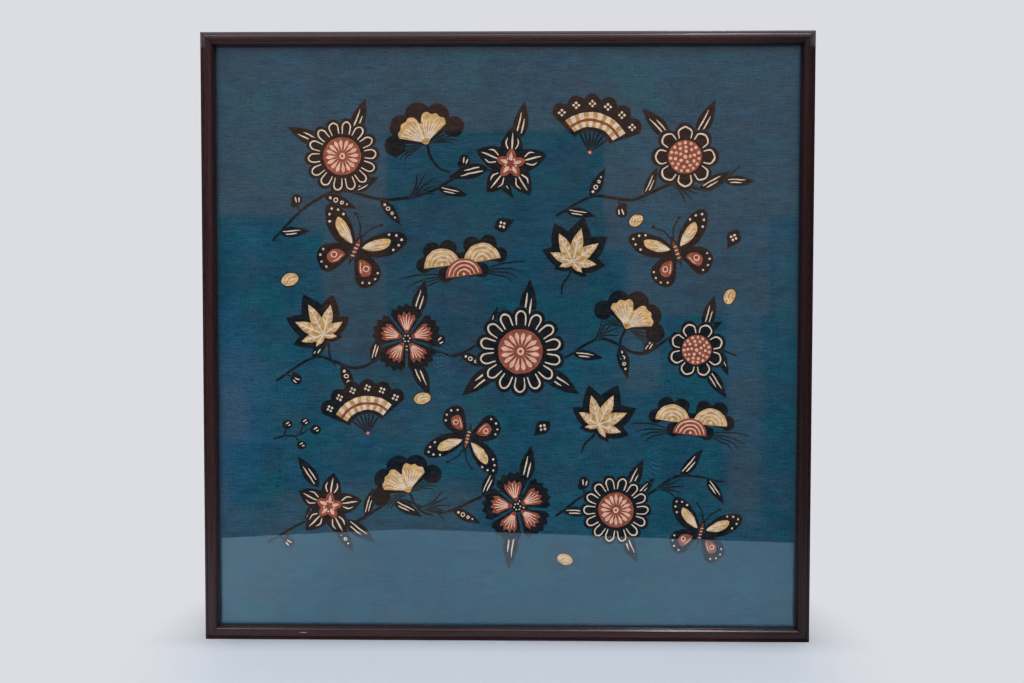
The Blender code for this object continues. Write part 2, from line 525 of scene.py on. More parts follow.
def smooth_curve(knots, closed=False):
    """A Catmull-Rom curve through the knots, with a point about every cutting step."""
    knots = np.asarray(knots, complex)
    if closed:
        padded = np.concatenate([knots[-1:], knots, knots[:2]])
    else:
        padded = np.concatenate([[2 * knots[0] - knots[1]], knots, [2 * knots[-1] - knots[-2]]])
    pieces = []
    for a, b, c, d in zip(padded, padded[1:], padded[2:], padded[3:]):
        t = np.arange(0, 1, 1 / max(2, math.ceil(abs(c - b) / CUT_STEP)))
        pieces.append(0.5 * (2 * b + (c - a) * t + (2 * a - 5 * b + 4 * c - d) * t**2
                             + (3 * b - a - 3 * c + d) * t**3))
    if not closed:
        pieces.append(knots[-1:])
    return np.concatenate(pieces)


def brush_line(knots, width, start=0.7, end=0.7):
    """The outline of one stroke: full width in its middle, a share of it at each rounded end."""
    line = smooth_curve(knots) if len(knots) > 2 else np.linspace(knots[0], knots[-1], 4)
    along = np.linspace(0, 1, len(line))
    half = 0.5 * width * np.interp(along, [0, 0.35, 0.7, 1], [start, 1, 1, end])
    tangent = np.gradient(line)
    side = 1j * tangent / np.abs(tangent) * half
    cap = np.exp(-1j * np.linspace(0, math.pi, 5))[1:-1]
    far_cap, near_cap = line[-1] + side[-1] * cap, line[0] - side[0] * cap
    return np.concatenate([line + side, far_cap, (line - side)[::-1], near_cap])


def oval(radius, squash=1.0):
    turn = full_turn(max(10, round(2 * math.pi * radius / CUT_STEP)))
    return radius * (np.cos(turn) + 1j * squash * np.sin(turn))


def bulging(spine, width, widest, fullness=1.0):
    """The outline round a spine, widest at a share of its length."""
    t = np.linspace(0, 1, len(spine))
    swell = 0.5j * width * np.sin(math.pi * t ** (math.log(0.5) / math.log(widest))) ** fullness
    return np.concatenate([spine + swell, (spine - swell)[-2:0:-1]])


def leaf(length, width, belly=0.45, bend=0.0):
    """A pointed leaf from the origin along +x, widest at belly, its tip bent aside."""
    t = np.linspace(0, 1, max(7, round(length / CUT_STEP / 1.3)))
    return bulging(length * t + 1j * bend * length * t**2, width, belly)


def drop(start, end, width, widest=0.72):
    """A teardrop from start to a round end, both on +x."""
    return bulging(np.linspace(start, end, 9), width, widest, 0.8)


def rosette(petals, valley, tip, roundness=0.55):
    """A ring of rounded petals."""
    turn = full_turn(round(2 * math.pi * tip / CUT_STEP / petals) * petals)
    return (valley + (tip - valley) * np.abs(np.cos(0.5 * petals * turn)) ** roundness) * np.exp(1j * turn)


def star(points, valley, tip, spread):
    """A ring of pointed petals with hollowed sides."""
    turn = full_turn(2 * points * max(4, round(math.pi * tip / CUT_STEP / points)))
    share = np.abs(1 - 2 * ((turn * points / (2 * math.pi)) % 1))
    return (valley + (tip - valley) * share**spread) * np.exp(1j * turn)


def sector(inner, outer, half_angle, scallops=0, depth=0.0):
    """Part of a ring, upright, with a scalloped outer edge if asked."""
    turn = np.linspace(-1, 1, max(6, round(2 * math.radians(half_angle) * outer / CUT_STEP)))
    way = swung(half_angle, turn)
    rim = (outer + depth * np.abs(np.sin(0.5 * math.pi * scallops * (turn + 1)))) * way
    return 1j * np.concatenate([rim, inner * way[::-3] if inner else [0]])


def lobes(reach, spread, count, radius):
    """Round lobes in an arc about the origin, the middle one at reach, the inner ones largest."""
    turns = np.linspace(spread, -spread, count)
    return [reach * heading(turn) + oval(radius * (1.08 - 0.22 * abs(turn) / spread)) for turn in turns]


def grown(outline, margin):
    """The outline moved outwards by a margin."""
    outline = np.asarray(outline, complex)
    after = np.roll(outline, -1)
    tangent = after - np.roll(outline, 1)
    outwards = -1j if np.sum((outline.conj() * after).imag) > 0 else 1j
    return outline + outwards * margin * tangent / np.maximum(np.abs(tangent), 1e-9)


def hand_cut(points):
    """The slight unevenness of a stencil cut by hand, the same wherever two outlines meet."""
    x, y = points.real / WOBBLE_LENGTH, points.imag / WOBBLE_LENGTH
    slow = np.sin(2.1 * x + 1.7 * y + 0.6) + 1j * np.sin(1.9 * y - 2.3 * x + 1.1)
    quick = np.sin(5.3 * x - 3.1 * y + 2.0) + 1j * np.sin(4.7 * y + 3.9 * x + 0.3)
    fine = np.sin(11 * y + 7 * x) + 1j * np.sin(9 * x - 8 * y)
    return points + WOBBLE * (slow + 0.6 * quick + 0.35 * fine) / 1.5


class Stencil:
    """A place on the cloth where shapes are cut, each over those before it.

    Points are complex numbers in millimetres: x to the right, y up, from the middle of the cloth.
    """

    def __init__(self, cuts, origin=0j, spin=1 + 0j, mirrored=False):
        self.cuts, self.origin, self.spin, self.mirrored = cuts, origin, spin, mirrored

    def at(self, place=0j, turn=0.0, size=1.0, mirror=False):
        spin = heading(turn) * size
        if self.mirrored:
            spin = spin.conjugate()
        return Stencil(self.cuts, self.on_cloth(complex(place)), self.spin * spin, self.mirrored != mirror)

    def on_cloth(self, points):
        """A mirrored place turns left and right about."""
        return self.origin + self.spin * (-np.conj(points) if self.mirrored else points)

    def around(self, count, turn=0.0):
        """The same place turned count times round a full circle."""
        return [self.at(turn=turn + 360 * k / count) for k in range(count)]

    def both_sides(self):
        return self.at(), self.at(mirror=True)

    def cut(self, dye, outline, graded=0.0):
        """Lays one dye. Its tone is graded from the place's own middle over that many millimetres."""
        points = self.on_cloth(np.asarray(outline, complex))
        self.cuts.append((dye, hand_cut(points), self.origin, graded * abs(self.spin)))

    def silhouette(self, *outlines):
        """Black shapes that lie on the blue, with the dye's soft edge under them."""
        for outline in outlines:
            self.cut(BLEED, grown(outline, BLEED_WIDTH))
        for outline in outlines:
            self.cut(SUMI, outline)

    def line(self, dye, knots, width, start=0.7, end=0.7):
        self.cut(dye, brush_line(knots, width, start, end))

    def stem(self, knots, width=1.6, start=1.0, end=0.35):
        self.silhouette(brush_line(knots, width, start, end))

    def dots(self, dye, radius, *places):
        for place in places:
            self.cut(dye, place + oval(radius))

    def ring(self, place, radius, width, inside):
        self.dots(BLUSH if inside == BRICK else CREAM, radius, place)
        self.dots(inside, radius - width, place)

    def four_dots(self, place, spread, radius):
        self.dots(CREAM, radius, *[place + spread * heading(90 * quarter + 12) for quarter in range(4)])


# Flowers

def looped_petals(s, radius, petals, valley, roundness, half_loop, width):
    """A black rosette with a pale loop in each petal, given by the loop's upper half."""
    s.silhouette(rosette(petals, valley * radius, radius, roundness))
    half_loop = radius * np.array(half_loop)
    for petal in s.around(petals):
        petal.line(CREAM, [*half_loop[:0:-1].conj(), *half_loop], width)


def chrysanthemum(s, radius=35.0):
    looped_petals(s, radius, 14, 0.84, 0.55, (0.905, 0.82 + 0.105j, 0.60 + 0.095j), 1.35)
    s.cut(BRICK, oval(0.50 * radius), graded=0.50 * radius)
    for rib in s.around(16):
        rib.cut(BLUSH, drop(0.12 * radius, 0.44 * radius, 0.095 * radius))
    s.dots(BLUSH, 0.085 * radius, 0)
    s.dots(BRICK, 0.035 * radius, 0)


def dotted_flower(s, radius=30.0):
    looped_petals(s, radius, 8, 0.70, 0.5, (0.88, 0.76 + 0.19j, 0.56 + 0.17j), 1.5)
    s.cut(BRICK, oval(0.50 * radius), graded=0.5 * radius)
    for reach, count in ((0.42, 15), (0.29, 10), (0.16, 5)):
        for place in s.around(count, turn=40 * reach):
            place.dots(BLUSH, 0.040 * radius + 0.25, reach * radius)
    s.dots(BLUSH, 0.06 * radius, 0)


def bellflower(s, radius=33.0):
    s.silhouette(star(5, 0.52 * radius, radius, 1.15))
    for petal in s.around(5):
        petal.line(CREAM, [0.40 * radius, 0.84 * radius], 1.5, end=0.3)
        for side in (-1, 1):
            vein = radius * np.array([0.41 + 0.10j * side, 0.56 + 0.17j * side, 0.70 + 0.135j * side])
            petal.line(CREAM, vein, 1.3, end=0.3)
    s.cut(BRICK, star(5, 0.23 * radius, 0.42 * radius, 1.0), graded=0.42 * radius)
    for petal in s.around(5):
        petal.cut(BLUSH, drop(0.08 * radius, 0.31 * radius, 0.10 * radius, 0.4))
    for place in s.around(5, turn=36):
        place.dots(BLUSH, 0.9, 0.15 * radius)


def pink(s, radius=29.0):
    """Five fringed petals."""
    def petal_outline(inner, outer, half_angle, teeth, depth):
        turn = np.linspace(-1, 1, 2 * teeth + 1)
        rim = outer - depth * (np.arange(len(turn)) % 2 == 0) - 0.10 * outer * turn**2
        return np.concatenate([[inner * heading(-12)], rim * swung(half_angle, turn), [inner * heading(12)]])
    petals = s.around(5, turn=90)
    for petal in petals:
        petal.silhouette(petal_outline(0.1 * radius, 1.12 * radius, 33, 5, 0.10 * radius))
    for petal in petals:
        petal.cut(BRICK, petal_outline(0.16 * radius, 0.86 * radius, 24, 4, 0.11 * radius), graded=radius)
        for spread in (-16, -8, 0, 8, 16):
            longest = 0.74 - 0.006 * abs(spread)
            vein = [0.30 * radius * heading(0.5 * spread), longest * radius * heading(spread)]
            petal.line(BLUSH, vein, 1.15, end=0.6)
    s.dots(SUMI, 0.17 * radius, 0)
    for place in s.around(6):
        place.dots(CREAM, 0.75, 0.10 * radius)


# Leaves

def maple_leaf(s, reach=41.0):
    fingers = ((90, 1.0), (50, 0.92), (130, 0.92), (8, 0.70), (172, 0.70), (-34, 0.42), (214, 0.42))
    fingers = [(heading(turn), share, reach * share) for turn, share in fingers]
    s.stem([0, -12j, -4 - 24j, -3 - 34j], 2.0, end=0.6)
    seats = [way * (leaf(1.12 * length + 7, 0.50 * length + 5, 0.52) - 6) for way, _, length in fingers]
    s.silhouette(*seats)
    for way, _, length in fingers:
        s.cut(OCHRE, way * (leaf(0.86 * length + 3, 0.25 * length + 2.5, 0.48) - 3), graded=reach)
    for way, share, length in fingers:
        s.line(CREAM, [0, 0.78 * length * way], 1.7, end=0.4)
        for along in (0.30, 0.46, 0.62) if share > 0.5 else (0.45,):
            for side in (-1, 1):
                base = along * length * way
                twig = 0.20 * length * (1.15 - along) * way * heading(38 * side)
                s.line(CREAM, [base, base + twig], 1.25, end=0.5)


def ginkgo_leaf(s, reach=40.0):
    def blade(size, half_angle, notch):
        turn = np.linspace(-1, 1, 41)
        rim = 1 + 0.025 * np.cos(turn * 22) - notch * np.exp(-(turn / 0.10) ** 2) - 0.10 * turn**4
        foot = np.array([0.24 * heading(half_angle - 14), 0.06 * heading(40)])
        return 1j * size * np.concatenate([rim * swung(half_angle, turn), foot, np.conj(foot[::-1])])
    s.stem([2j, -12j, 5 - 24j, 13 - 31j], 2.4, end=0.7)
    needle_sweep(s, 4 + 4j, 34)
    s.silhouette(blade(0.98 * reach, 66, 0.1), *lobes(0.84j * reach, 70, 5, 0.31 * reach))
    s.cut(OCHRE, 1.5j + blade(0.84 * reach, 58, 0.34), graded=reach)
    for spread in (-52, -43, -34, -25, -16, -8, 8, 16, 25, 34, 43, 52):
        longest = 0.74 - 0.04 * (spread % 3)
        rib = [0.20 * heading(0.75 * spread), 0.50 * heading(0.92 * spread), longest * heading(spread)]
        s.line(CREAM, 1.5j + 1j * reach * np.array(rib), 1.5, end=0.6)


def ribbed_leaf(s, length=34.0, width=11.0, bend=0.06, ringed=False):
    """One dark pointed leaf, with resist lines or rings along it."""
    s.silhouette(leaf(length, width, 0.42, bend))
    if ringed:
        for t, radius in ((0.20, 0.13), (0.36, 0.22), (0.55, 0.17), (0.70, 0.09)):
            place = length * t + 1j * bend * length * t**2
            if radius > 0.15:
                s.ring(place, radius * width, 1.1, SUMI)
            else:
                s.dots(CREAM, radius * width, place)
    else:
        for lift, first, last in ((0.13, 0.14, 0.70), (-0.16, 0.22, 0.58)):
            t = np.linspace(first, last, 3)
            s.line(CREAM, length * t + 1j * (lift * width + bend * length * t**2), 1.3, end=0.35)


# Creatures and objects

def butterfly(s):
    fore = [2 + 3j, 9 + 19j, 24 + 32j, 38 + 36j, 43 + 29j, 36 + 14j, 20 + 3j]
    hind = [2 + 1j, 16 + 2j, 30 - 5j, 33 - 17j, 24 - 28j, 14 - 27j, 6 - 13j]
    cell = [6 + 7j, 11 + 16j, 20 + 23.5j, 28.5 + 25j, 27.5 + 16.5j, 17 + 8.5j]
    spot = [8 - 5j, 16 - 4j, 22 - 8j, 23 - 15j, 17 - 19j, 11 - 14j]
    fore, hind, cell, spot = (smooth_curve(shape, closed=True) for shape in (fore, hind, cell, spot))
    for wing in s.both_sides():
        wing.silhouette(hind, fore)
    for wing in s.both_sides():
        wing.cut(OCHRE, cell, graded=34)
        for tip in (12.5 + 15.5j, 19 + 20.5j, 25.5 + 22.5j, 25.5 + 17j, 20.5 + 11.5j):
            wing.line(CREAM, [6 + 7j, 0.55 * (6 + 7j) + 0.45 * tip + 0.5j, tip], 1.3, end=0.6)
        wing.dots(CREAM, 1.25, 24.6 + 29.8j, 31.4 + 31.6j, 37.8 + 30.2j, 37.6 + 24.2j, 34.4 + 17.8j)
        wing.cut(BRICK, spot, graded=22)
        wing.ring(17.5 - 10.5j, 3.2, 1.2, BRICK)
        wing.line(BLUSH, [10 - 7j, 12 - 12j, 15 - 16j], 1.2)
        wing.dots(CREAM, 1.15, 29.3 - 9.5j, 29.6 - 15.8j, 26 - 21.8j, 19.5 - 24.6j)
        wing.stem([1 + 15j, 5 + 26j, 13 + 34j], 1.1, end=0.8)
        wing.silhouette(14 + 35j + oval(1.5))
    s.silhouette(-16j + 1j * leaf(36, 7.5, 0.62))
    s.cut(BRICK, -9j + 1j * leaf(24, 4.4, 0.6))
    for lift in (-4j, 0, 4j, 8j):
        s.line(CREAM, [lift - 1.7, lift + 1.7], 1.0)


def folding_fan(s, reach=47.0, half_angle=52):
    """Open paper fan: sticks, pleated paper, a scalloped black border."""
    f = s.at(-0.28j * reach)
    for spread in np.linspace(-0.80, 0.80, 7):
        f.stem([0, 0.50j * reach * heading(spread * half_angle)], 1.5, end=0.9)
    f.silhouette(sector(0.44 * reach, 1.08 * reach, half_angle + 5, 6, 0.12 * reach))
    f.cut(OCHRE, sector(0.52 * reach, 0.82 * reach, half_angle - 2))
    folds = np.linspace(2 - half_angle, half_angle - 2, 15)
    for low, high in zip(folds[::2], folds[1::2]):
        corners = [0.52 * heading(low), 0.82 * heading(low), 0.82 * heading(high), 0.52 * heading(high)]
        f.cut(CREAM, 1j * reach * np.array(corners))
    f.line(BRICK, arc(0.66 * reach, half_angle - 3), 2.6, start=1, end=1)
    for lobe in range(6):
        f.four_dots(0.995j * reach * heading((lobe - 2.5) / 3 * (half_angle + 5)), 2.4, 1.25)
    f.dots(BRICK, 2.4, 0)
    f.dots(CREAM, 1.0, 0)


def wave_scales(s, radius=21.0):
    """Three overlapping wave scales over a black backing."""
    seats = (-0.98 * radius, 0.98 * radius, -0.6076j * radius)
    needle_sweep(s, 14 - 10j, 50)
    backing = [outline + seat for seat in seats for outline in lobes(0.90j * radius, 78, 4, 0.42 * radius)]
    s.silhouette(*[seat + sector(0, radius, 96) for seat in seats], *backing)
    for seat, dye, pale in zip(seats, (OCHRE, OCHRE, BRICK), (CREAM, CREAM, BLUSH)):
        s.at(seat).cut(dye, sector(0, 0.88 * radius, 88), graded=radius)
        for share in (0.74, 0.54, 0.34):
            s.line(pale, seat + arc(share * radius, 80), 1.6)
        s.dots(pale, 1.6, seat + 2.4j)


# Small filling

def berry_sprig(s):
    s.stem([0, 12 + 2j, 24 + 1j, 36 + 6j], 1.5)
    berries = (
        # foot of the stalk, middle of the berry, radius
        (10 + 1.8j, 15 + 13j, 5.0),
        (21 + 1j, 27 - 9j, 4.6),
        (26 + 2j, 33 + 14j, 4.4),
        (36 + 6j, 43 + 5j, 5.2),
    )
    for foot, tip, radius in berries:
        s.stem([foot, tip], 1.1, end=0.9)
        s.silhouette(tip + oval(radius, 0.9))
        s.line(CREAM, [tip + 1.6 * heading(150), tip + 2.6 * heading(60)], 1.3)
        s.line(CREAM, [tip + 1.5 * heading(-60), tip + 2.6 * heading(-10)], 1.2)


def seed(s):
    s.silhouette(oval(9.0, 0.74))
    s.cut(OCHRE, oval(8.4, 0.70), graded=8)
    s.line(CREAM, [-5.2 - 1.5j, -1 + 2.6j, 4.8 + 2.2j], 1.5)
    s.line(CREAM, [-3.4 - 3.4j, 0.6 - 0.6j, 5 - 1.6j], 1.1)


def needle_tuft(s):
    """A tuft of thin dark needles."""
    for spread in (-34, -17, -2, 15, 31):
        s.stem([0, 13 * heading(0.7 * spread), (29 - abs(spread) * 0.15) * heading(spread)], 1.15, end=0.4)


def needle_sweep(s, root, reach):
    """Long thin needles that sweep out to both sides from under a motif."""
    for half in s.both_sides():
        for number, spread in enumerate((4, -7, -15, -24)):
            tip = root + reach * (1 - 0.09 * number) * heading(spread)
            half.stem([root, root + 0.55 * reach * heading(spread + 6), tip], 1.05, end=0.4)


def washed_strokes(s):
    """A fan of hair-thin strokes in thin indigo, curling one way."""
    for number in range(11):
        reach = (17 + 2.3 * number) * heading(64 - 9.5 * number)
        s.line(WASHED, [0.42 * reach, 0.74 * reach * heading(5), reach * heading(15)], 0.62, 0.5, 0.3)


def bud(s):
    s.stem([0, 9 + 1j], 1.3, start=0.7, end=1)
    s.silhouette(13 + oval(6.0, 0.92), 9 + 3.5j + oval(3.4))
    s.line(CREAM, [10.5 - 2j, 14.6 - 3.2j], 1.4)
    s.line(CREAM, [11 + 0.8j, 16 + 1j], 1.4)


def dotted_drop(s):
    s.silhouette(leaf(20, 13, 0.62))
    s.four_dots(12, 2.4, 1.2)


# The layout

LEAF_START = 21.0
LEAF_SIZE = (36, 13)
GROWTH_ANGLE = {"leaf": 40, "ringed": 44, "bud": 62, "needles": 30}
GARLANDS = (
    # the stem's knots, what grows from it
    ((-238 + 100j, -205 + 133j, -169 + 150j, -125 + 141j, -80 + 148j, -37 + 170j, 7 + 167j),
     "leaf bud ringed leaf ringed needles leaf bud leaf"),
    ((51 + 125j, 87 + 144j, 128 + 141j, 169 + 157j, 205 + 151j, 235 + 174j),
     "leaf ringed bud leaf needles leaf leaf"),
    ((-235 - 43j, -194 - 19j, -151 - 30j, -102 - 5j, -53 - 17j, -7 + 6j, 33 - 3j),
     "bud leaf ringed leaf leaf bud ringed leaf leaf"),
    ((60 - 19j, 96 + 0j, 137 - 15j, 177 + 4j, 233 - 17j),
     "leaf needles ringed leaf bud leaf leaf"),
    ((-244 - 209j, -202 - 187j, -160 - 190j, -112 - 166j, -65 - 178j, -12 - 157j, 28 - 164j),
     "bud leaf ringed leaf leaf needles ringed leaf leaf"),
    ((51 - 181j, 89 - 156j, 133 - 164j, 176 - 140j, 223 - 146j),
     "leaf bud leaf leaf needles leaf leaf"),
)
LAYOUT = (
    # motif, x, y, turn, size, directions of the leaves behind it
    (washed_strokes, 35, 112, -30, 1.01),
    (washed_strokes, -47, -30, 150, 0.91),
    (washed_strokes, 135, -114, -60, 1.01),
    (washed_strokes, -116, 125, -20, 0.81),
    (chrysanthemum, -167, 185, 4, 1.09, 65, 150),
    (ginkgo_leaf, -80, 194, 18, 0.99),
    (bellflower, 4, 177, 14, 1.13, 75, 190),
    (folding_fan, 87, 202, -12, 1.05),
    (dotted_flower, 180, 184, 0, 1.13, 60, 130),
    (seed, 131, 120, 30, 0.91),
    (seed, -221, 60, 20, 1.06),
    (butterfly, -155, 88, -24, 1.03),
    (wave_scales, -45, 76, 8, 1.0),
    (dotted_drop, 8, 120, 200, 1.11),
    (maple_leaf, 67, 78, -14, 1.0),
    (butterfly, 173, 86, 20, 0.97),
    (dotted_drop, 223, 91, 60, 1.11),
    (seed, 226, 43, 70, 0.96),
    (maple_leaf, -187, 4, 26, 0.97),
    (pink, -102, 0, 0, 1.11, -70, 70),
    (chrysanthemum, 14, -13, 12, 1.3, -38, 80, 215),
    (ginkgo_leaf, 120, 8, -24, 0.91),
    (dotted_flower, 193, -11, 20, 1.01, 70, -60),
    (berry_sprig, -238, -103, 6, 1.01),
    (folding_fan, -144, -84, 10, 0.99),
    (seed, -86, -61, 12, 1.01),
    (butterfly, -39, -99, 164, 0.91),
    (dotted_drop, 27, -99, 40, 1.11),
    (maple_leaf, 94, -88, -26, 0.97),
    (wave_scales, 188, -86, -6, 0.94),
    (bellflower, -182, -172, 10, 1.05, 120, -40),
    (ginkgo_leaf, -98, -160, 24, 0.91),
    (pink, 11, -172, 12, 1.13, 75, -100),
    (chrysanthemum, 112, -175, 0, 1.03, -70, 60),
    (seed, 60, -226, -14, 0.96),
    (butterfly, 198, -200, -16, 0.86),
)


def garland(s, knots, growth):
    """A long stem with leaves, buds and needles evenly along it, on its two sides in turn."""
    line = smooth_curve(knots)
    s.stem(knots, 2.6, start=0.8, end=0.45)
    for number, kind in enumerate(growth):
        k = int((number + 0.35) / len(growth) * (len(line) - 2))
        side = 1 if number % 2 else -1
        way = math.degrees(cmath.phase(line[k + 1] - line[k]))
        place = s.at(line[k], turn=way + side * GROWTH_ANGLE[kind], size=0.92 + 0.06 * (number % 3))
        if kind == "needles":
            needle_tuft(place)
        elif kind == "bud":
            bud(place)
        else:
            ribbed_leaf(place, bend=0.05 * side, ringed=kind == "ringed")


def draw_all():
    cuts = []
    sheet = Stencil(cuts)
    for knots, growth in GARLANDS:
        garland(sheet, knots, growth.split())
    for draw, x, y, turn, size, *leaves in LAYOUT:
        for way in leaves:
            ribbed_leaf(sheet.at(complex(x, y) + LEAF_START * size * heading(way), way, size), *LEAF_SIZE)
        draw(sheet.at(complex(x, y), turn, size))
    return cuts


# The cloth

def wound_round(points, outline):
    """How often the outline winds round each point: 0 outside it."""
    turns = np.zeros(len(points), int)
    for a, b in zip(outline, np.roll(outline, -1)):
        side = ((b - a).conjugate() * (points - a)).imag
        turns += (a.imag <= points.imag) & (b.imag > points.imag) & (side > 0)
        turns -= (a.imag > points.imag) & (b.imag <= points.imag) & (side < 0)
    return turns


def square_border(half, count):
    """Points evenly round a square, from its lower left corner."""
    side = 2 * half * np.arange(count) / count - half - 1j * half
    return np.concatenate([side * 1j**quarter for quarter in range(4)])


def inner_lattice(half, pitch):
    """Staggered points inside the square, clear of its border."""
    steps = np.arange(-half + pitch, half - 0.5 * pitch, pitch)
    points = []
    for row, y in enumerate(steps):
        shift = 0.25 * pitch if row % 2 else -0.25 * pitch
        points.extend(complex(x + shift, y) for x in steps)
    return np.array(points)


def triangulated(loops, loose):
    """Triangles over closed outlines and loose points, with every outline kept as edges."""
    edges = []
    for loop in loops:
        start, count = len(edges), len(loop)
        edges.extend((start + k, start + (k + 1) % count) for k in range(count))
    corners = [Vector((z.real, z.imag)) for z in np.concatenate([*loops, loose])]
    made, _, faces, *_ = delaunay_2d_cdt(corners, edges, [], 0, 1e-3)
    return np.array([complex(*corner) for corner in made]), np.array(faces)


def covering_cuts(centres, cuts):
    """For each face, the last cut that covers it, or -1 on the bare ground."""
    owner = np.full(len(centres), -1)
    for number, (_, outline, _, _) in enumerate(cuts):
        near = np.flatnonzero(
            (centres.real > outline.real.min()) & (centres.real < outline.real.max())
            & (centres.imag > outline.imag.min()) & (centres.imag < outline.imag.max()))
        owner[near[wound_round(centres[near], outline) != 0]] = number
    return owner


def cloth_wave(points):
    """How far the cloth stands off its flat plane, which is a fraction of its thickness."""
    x, y = points.real, points.imag
    long_wave = np.sin(x / 41 + 0.7) * np.sin(y / 53 + 0.2)
    short_wave = np.sin(x / 17 + y / 23) * np.sin(y / 19 - x / 37)
    return CLOTH_WAVE * (long_wave + 0.5 * short_wave) / 1.5


def on_cloth_plane(points, depth):
    depth = CLOTH_LOW.y + CLOTH_SETBACK + depth + cloth_wave(points)
    return np.stack([points.real * MILLIMETRE, depth, CLOTH_MIDDLE + points.imag * MILLIMETRE], axis=1)


def nearest(points, places):
    return [int(np.argmin(np.abs(points - place))) for place in places]


def build_cloth(finish):
    """One sheet: its face cut up along the dyes' outlines, its back plain, its edges closed."""
    half = CLOTH_SIZE / 2 / MILLIMETRE
    cuts = draw_all()
    border = square_border(half, BORDER_POINTS)
    outlines = [outline for _, outline, _, _ in cuts]
    face_points, face_tris = triangulated([border, *outlines], inner_lattice(half, LATTICE_PITCH))
    back_points, back_tris = triangulated([border], inner_lattice(half, 2 * LATTICE_PITCH))
    corners = np.concatenate([on_cloth_plane(face_points, 0.0), on_cloth_plane(back_points, CLOTH_THICKNESS)])

    back_start = len(face_points)
    a, c = nearest(face_points, border), np.array(nearest(back_points, border)) + back_start
    b, d = np.roll(a, -1), np.roll(c, -1)
    rim = np.stack([b, a, c, b, c, d], axis=1).reshape(-1, 3)
    tris = np.concatenate([face_tris, back_tris[:, ::-1] + back_start, rim])
    mesh = bpy.data.meshes.new("dyed_cloth")
    mesh.from_pydata(corners.tolist(), [], tris.tolist())

    owner = covering_cuts(face_points[face_tris].mean(axis=1), cuts)
    dye = np.full(len(tris), GROUND, np.float32)
    tone = np.zeros((len(tris), 3), np.float32)
    kinds, middles, reaches = (np.array([cut[k] for cut in cuts]) for k in (0, 2, 3))
    cut_faces = np.flatnonzero(owner >= 0)
    dye[cut_faces] = kinds[owner[cut_faces]]
    graded = cut_faces[reaches[owner[cut_faces]] > 0]
    away = np.abs(face_points[face_tris[graded]] - middles[owner[graded], None])
    tone[graded] = away / reaches[owner[graded], None]
    mesh.attributes.new("dye", "FLOAT", "FACE").data.foreach_set("value", dye)
    mesh.attributes.new("tone", "FLOAT", "CORNER").data.foreach_set("value", tone.ravel())
    mesh.materials.append(finish)
    mesh.shade_smooth()
    mesh.set_sharp_from_angle(angle=CLOTH_CREASE)

    cloth = add_object("stencil_dyed_cloth", mesh)
    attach(cloth, "root")
    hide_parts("cloth")


def refinish(node, finish):
    """Gives a carried-over node its material."""
    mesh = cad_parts[node].data
    mesh.materials.clear()
    mesh.materials.append(finish)


# The frame's rails

def arc_points(centre, radii, first, last, steps):
    """Points on an ellipse's arc between two angles, both ends included."""
    turns = [math.radians(first + (last - first) * step / steps) for step in range(steps + 1)]
    return [(centre[0] + radii[0] * math.cos(turn), centre[1] + radii[1] * math.sin(turn)) for turn in turns]


def eased(corner, before, after, radius=EASED_EDGE):
    """A sharp corner of the section, rounded over a small radius between its two neighbours."""
    corner, before, after = Vector(corner), Vector(before), Vector(after)
    start = corner + (before - corner).normalized() * radius
    end = corner + (after - corner).normalized() * radius
    shares = (0, 1 / 3, 2 / 3, 1)
    return [tuple((1 - t) ** 2 * start + 2 * t * (1 - t) * corner + t * t * end) for t in shares]


def moulding_section():
    """The moulding's closed outline: inset from the outside edge, height from the back."""
    quirk_radius = 0.5 * QUIRK_WIDTH
    quirk_middle = FILLET_WIDTH + quirk_radius
    bead_foot = OUTSIDE_HEIGHT + FILLET_RISE - QUIRK_DEPTH + quirk_radius
    shoulder_top = RAIL_DEPTH - CROWN_RISE
    crown_start = FILLET_WIDTH + QUIRK_WIDTH + OUTER_SHOULDER
    crown_end = RAIL_WIDTH - SIGHT_ARRIS - INNER_SHOULDER
    inner_foot = SIGHT_HEIGHT + SIGHT_ARRIS
    outer_reach = OUTER_SHOULDER, shoulder_top - bead_foot
    inner_reach = INNER_SHOULDER, shoulder_top - inner_foot

    fillet = arc_points((FILLET_WIDTH, OUTSIDE_HEIGHT), (FILLET_WIDTH, FILLET_RISE), 180, 90, FILLET_STEPS)
    quirk = arc_points((quirk_middle, bead_foot), (quirk_radius, quirk_radius), 180, 360, QUIRK_STEPS)
    outer = arc_points((crown_start, bead_foot), outer_reach, 180, 90, SHOULDER_STEPS)
    crown = [(crown_start + (crown_end - crown_start) * t, shoulder_top + CROWN_RISE * math.sin(math.pi * t))
             for t in (0.2, 0.4, 0.6, 0.8)]
    inner = arc_points((crown_end, inner_foot), inner_reach, 90, 0, SHOULDER_STEPS)
    sight_low, sight_high = (RAIL_WIDTH, LIP_HEIGHT), (RAIL_WIDTH, SIGHT_HEIGHT)
    rebate_corner, rebate_foot = (WALL_WIDTH, LIP_HEIGHT), (WALL_WIDTH, 0.0)
    back_corner, outside_top = (0.0, 0.0), (0.0, OUTSIDE_HEIGHT)
    return (
        eased(back_corner, rebate_foot, outside_top)
        + fillet + quirk[1:-1] + outer + crown + inner
        + [sight_high]
        + eased(sight_low, sight_high, rebate_corner, SIGHT_ARRIS)
        + [rebate_corner]
        + eased(rebate_foot, rebate_corner, back_corner)
    )


def section_object():
    """The section's outline as a closed loop of edges."""
    points = moulding_section()
    mesh = bpy.data.meshes.new("moulding_section")
    edges = [(k, (k + 1) % len(points)) for k in range(len(points))]
    mesh.from_pydata([(inset, height, 0.0) for inset, height in points], edges, [])
    return add_object("moulding_section", mesh)


